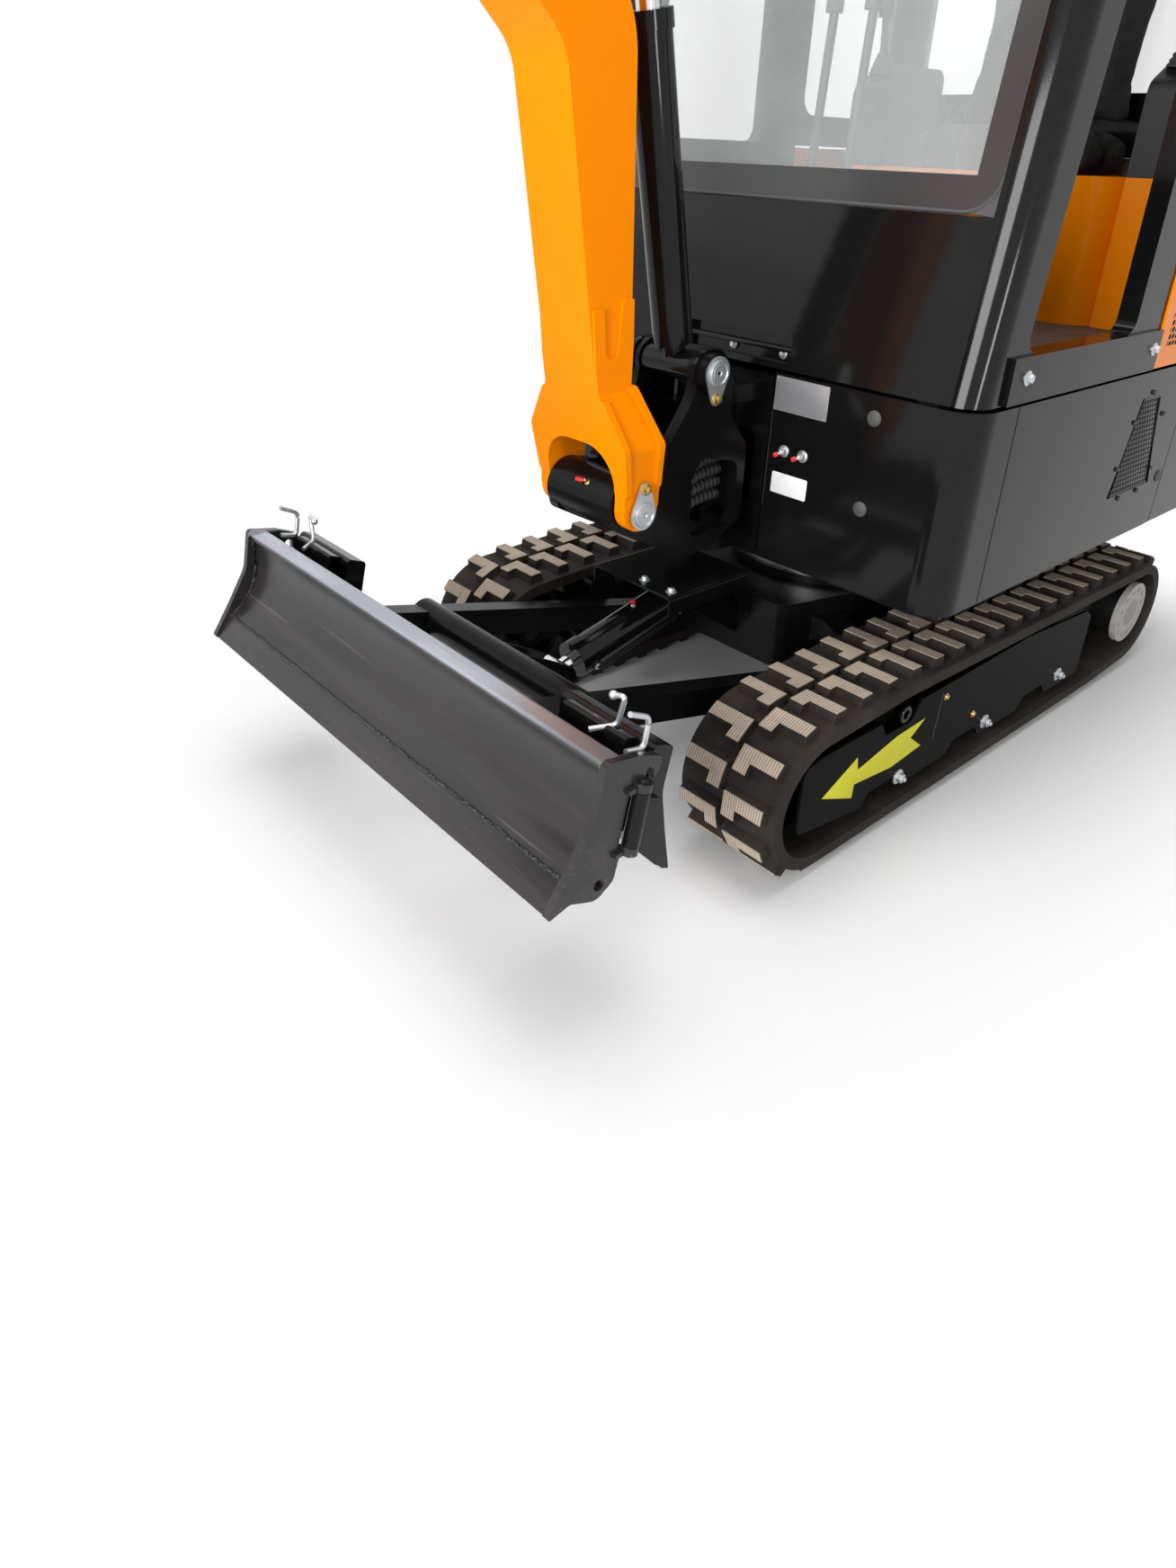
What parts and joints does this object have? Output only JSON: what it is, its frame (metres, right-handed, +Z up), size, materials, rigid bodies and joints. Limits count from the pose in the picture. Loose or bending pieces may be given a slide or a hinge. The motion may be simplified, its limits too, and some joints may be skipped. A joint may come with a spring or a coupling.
{
  "type": "mini excavator",
  "caption": "Compact tracked digger with a cab, offset-swinging boom, arm and bucket, and a dozer blade with fold-back wings.",
  "frame": {"origin": "on the ground, at the bottom centre of the whole machine's box as parked", "axes": "+X to the machine's left, +Y to its rear, +Z up; the blade and boom face -Y"},
  "size_m": [1.02, 2.8665, 2.1905],
  "materials": {
    "cast": "matte",
    "chrome": "polished",
    "fabric": "matte",
    "floor_rubber": "matte",
    "glass": "clear",
    "gloss_black": "gloss",
    "grey": "satin",
    "orange": "gloss",
    "plastic": "matte",
    "rubber": "matte",
    "satin_black": "satin",
    "steel": "satin"
  },
  "bodies": {
    "undercarriage": {"car_body": "satin_black", "cylinder_guard": "satin_black", "slew_bearing": "satin_black", "left_track_frame": "satin_black", "left_track": "rubber", "left_idler": "satin_black", "left_rollers": "satin_black", "left_drive": "grey", "right_track_frame": "satin_black", "right_track": "rubber", "right_idler": "satin_black", "right_rollers": "satin_black", "right_drive": "grey"},
    "blade": {"blade": "gloss_black", "blade_edge": "steel", "blade_arms": "satin_black"},
    "left_wing": {"left_wing": "gloss_black", "left_wing_pin": "steel"},
    "right_wing": {"right_wing": "gloss_black", "right_wing_pin": "steel"},
    "blade_cylinder_barrel": {"blade_cylinder_barrel": "satin_black"},
    "blade_cylinder_rod": {"blade_cylinder_rod": "chrome"},
    "house": {"house_frame": "satin_black", "left_front_panel": "gloss_black", "right_front_panel": "gloss_black", "left_side_panel": "gloss_black", "right_side_panel": "gloss_black", "counterweight": "gloss_black", "engine": "cast", "cab_frame": "gloss_black", "cab_roof": "gloss_black", "cab_front_panel": "gloss_black", "cab_floor": "floor_rubber", "windscreen": "glass", "left_quarter_window": "glass", "right_quarter_window": "glass", "right_window": "glass", "rear_window": "glass", "left_skirt": "gloss_black", "right_skirt": "gloss_black", "seat_base": "orange", "seat": "fabric", "controls": "plastic", "left_engine_panel": "orange", "right_engine_panel": "orange"},
    "engine_hood": {"engine_hood": "orange"},
    "swing_post": {"swing_post": "satin_black", "post_hoses": "rubber"},
    "boom": {"boom": "orange"},
    "boom_cylinder_barrel": {"boom_cylinder_barrel": "satin_black"},
    "boom_cylinder_rod": {"boom_cylinder_rod": "chrome"},
    "arm": {"arm": "orange"},
    "arm_cylinder_barrel": {"arm_cylinder_barrel": "satin_black"},
    "arm_cylinder_rod": {"arm_cylinder_rod": "chrome"},
    "bucket": {"bucket": "orange", "bucket_teeth": "steel"},
    "bucket_rocker": {"bucket_rocker": "orange"},
    "bucket_link": {"bucket_link": "orange"},
    "bucket_cylinder_barrel": {"bucket_cylinder_barrel": "satin_black"},
    "bucket_cylinder_rod": {"bucket_cylinder_rod": "chrome"}
  },
  "joints": [
    {"name": "slew", "type": "hinge", "parent": "undercarriage", "child": "house", "pos_m": [0, 0.60329, 0.35254], "axis": [0, 0, 1], "continuous": true},
    {"name": "blade_lift", "type": "hinge", "parent": "undercarriage", "child": "blade", "pos_m": [0, 0.27329, 0.16554], "axis": [-1, 0, 0], "range_deg": [-28, 2]},
    {"name": "left_wing_hinge", "type": "hinge", "parent": "blade", "child": "left_wing", "pos_m": [0.498, -0.46295, 0.33937], "axis": [0, -0.1961, -0.9806], "range_deg": [0, 180]},
    {"name": "right_wing_hinge", "type": "hinge", "parent": "blade", "child": "right_wing", "pos_m": [-0.498, -0.46295, 0.33937], "axis": [0, 0.1961, 0.9806], "range_deg": [0, 180]},
    {"name": "blade_cylinder_turn", "type": "hinge", "parent": "undercarriage", "child": "blade_cylinder_barrel", "pos_m": [0, 0.13329, 0.33054], "axis": [1, 0, 0], "range_deg": [-2.31, 31.73]},
    {"name": "blade_cylinder_stroke", "type": "slide", "parent": "blade_cylinder_barrel", "child": "blade_cylinder_rod", "axis": [0, -0.9701, -0.2425], "range_m": [-0.00782, 0.10294]},
    {"name": "engine_hood_hinge", "type": "hinge", "parent": "house", "child": "engine_hood", "pos_m": [0, 1.31929, 1.10654], "axis": [1, 0, 0], "range_deg": [0, 75]},
    {"name": "boom_swing", "type": "hinge", "parent": "house", "child": "swing_post", "pos_m": [0, 0.17329, 0.45754], "axis": [0, 0, 1], "range_deg": [-55, 55]},
    {"name": "boom_lift", "type": "hinge", "parent": "swing_post", "child": "boom", "pos_m": [0, -0.09371, 0.56854], "axis": [-1, 0, 0], "range_deg": [-90, 6]},
    {"name": "boom_cylinder_turn", "type": "hinge", "parent": "swing_post", "child": "boom_cylinder_barrel", "pos_m": [0, 0.07229, 0.77054], "axis": [1, 0, 0], "range_deg": [-6.1, 90.85]},
    {"name": "boom_cylinder_stroke", "type": "slide", "parent": "boom_cylinder_barrel", "child": "boom_cylinder_rod", "axis": [0, -0.2044, 0.9789], "range_m": [-0.0252, 0.37094]},
    {"name": "arm_crowd", "type": "hinge", "parent": "boom", "child": "arm", "pos_m": [0, -0.70671, 1.71554], "axis": [1, 0, 0], "range_deg": [-68, 34]},
    {"name": "arm_cylinder_turn", "type": "hinge", "parent": "boom", "child": "arm_cylinder_barrel", "pos_m": [0, -0.19671, 1.42554], "axis": [1, 0, 0], "range_deg": [-5.73, 2.89]},
    {"name": "arm_cylinder_stroke", "type": "slide", "parent": "arm_cylinder_barrel", "child": "arm_cylinder_rod", "axis": [0, -0.6904, 0.7235], "range_m": [-0.20253, 0.10152]},
    {"name": "bucket_curl", "type": "hinge", "parent": "arm", "child": "bucket", "pos_m": [0, -1.29717, 1.1041], "axis": [1, 0, 0], "range_deg": [-80, 80]},
    {"name": "rocker_turn", "type": "hinge", "parent": "arm", "child": "bucket_rocker", "pos_m": [0, -1.19645, 1.2084], "axis": [1, 0, 0], "range_deg": [-36.93, 36.93]},
    {"name": "link_turn", "type": "hinge", "parent": "bucket_rocker", "child": "bucket_link", "pos_m": [0, -1.37726, 1.26677], "axis": [1, 0, 0], "range_deg": [-22.49, 22.49]},
    {"name": "bucket_cylinder_turn", "type": "hinge", "parent": "arm", "child": "bucket_cylinder_barrel", "pos_m": [0, -0.9667, 1.61906], "axis": [1, 0, 0], "range_deg": [-6.18, 6.18]},
    {"name": "bucket_cylinder_stroke", "type": "slide", "parent": "bucket_cylinder_barrel", "child": "bucket_cylinder_rod", "axis": [0, -0.7589, -0.6512], "range_m": [-0.10378, 0.10378]}
  ],
  "couplings": [
    {"joint": "blade_cylinder_turn", "follows": "blade_lift", "ratio": -1.1315},
    {"joint": "blade_cylinder_stroke", "follows": "blade_lift", "m_per_rad": -0.20963},
    {"joint": "boom_cylinder_turn", "follows": "boom_lift", "ratio": -1.0089},
    {"joint": "boom_cylinder_stroke", "follows": "boom_lift", "m_per_rad": -0.23583},
    {"joint": "arm_cylinder_turn", "follows": "arm_crowd", "ratio": 0.083565},
    {"joint": "arm_cylinder_stroke", "follows": "arm_crowd", "m_per_rad": 0.17023},
    {"joint": "rocker_turn", "follows": "bucket_curl", "ratio": 0.46105},
    {"joint": "link_turn", "follows": "bucket_curl", "ratio": -0.28047},
    {"joint": "bucket_cylinder_turn", "follows": "bucket_curl", "ratio": 0.076628},
    {"joint": "bucket_cylinder_stroke", "follows": "bucket_curl", "m_per_rad": 0.073971}
  ]
}
